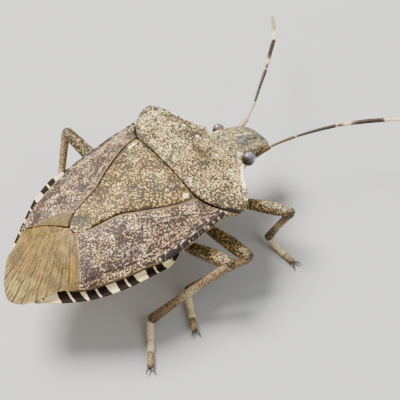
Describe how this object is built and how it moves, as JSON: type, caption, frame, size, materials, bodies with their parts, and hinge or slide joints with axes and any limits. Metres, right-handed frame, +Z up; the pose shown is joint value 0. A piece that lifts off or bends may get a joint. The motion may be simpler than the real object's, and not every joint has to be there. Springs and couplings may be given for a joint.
{
  "type": "shield bug",
  "caption": "Life-size standing shield bug with jointed legs, beaded feelers, a broad shield-shaped back and folded veined wings.",
  "frame": {"origin": "bottom centre of the whole part's box, on the ground that the feet stand on", "axes": "+Z up, the bug faces -Y, its left side is at +X"},
  "size_m": [0.0136, 0.0234, 0.0059],
  "materials": {
    "head": "pitted shell, satin",
    "eye": "smooth, glossy",
    "rostrum": "smooth, satin",
    "antenna": "banded dark and cream, satin",
    "pronotum": "densely pitted shell, satin",
    "scutellum": "densely pitted shell, satin",
    "corium": "pitted leathery wing, satin",
    "membrane": "thin veined wing, glossy, partly see-through",
    "thorax": "pitted shell, satin",
    "abdomen": "smooth shell, satin, dark and cream edge plates",
    "femur": "pale with dark dots, satin",
    "tibia": "brown with dark dots, satin",
    "tarsus": "pale, darker end joint, satin"
  },
  "bodies": {
    "root": {"head": "head", "rostrum": "rostrum", "pronotum": "pronotum", "scutellum": "scutellum", "thorax": "thorax", "abdomen": "abdomen", "eye_left": "eye", "antenna_left": "antenna", "corium_left": "corium", "membrane_left": "membrane", "femur_front_left": "femur", "tibia_front_left": "tibia", "tarsus_front_left": "tarsus", "femur_middle_left": "femur", "tibia_middle_left": "tibia", "tarsus_middle_left": "tarsus", "femur_hind_left": "femur", "tibia_hind_left": "tibia", "tarsus_hind_left": "tarsus", "eye_right": "eye", "antenna_right": "antenna", "corium_right": "corium", "membrane_right": "membrane", "femur_front_right": "femur", "tibia_front_right": "tibia", "tarsus_front_right": "tarsus", "femur_middle_right": "femur", "tibia_middle_right": "tibia", "tarsus_middle_right": "tarsus", "femur_hind_right": "femur", "tibia_hind_right": "tibia", "tarsus_hind_right": "tarsus"}
  },
  "joints": []
}
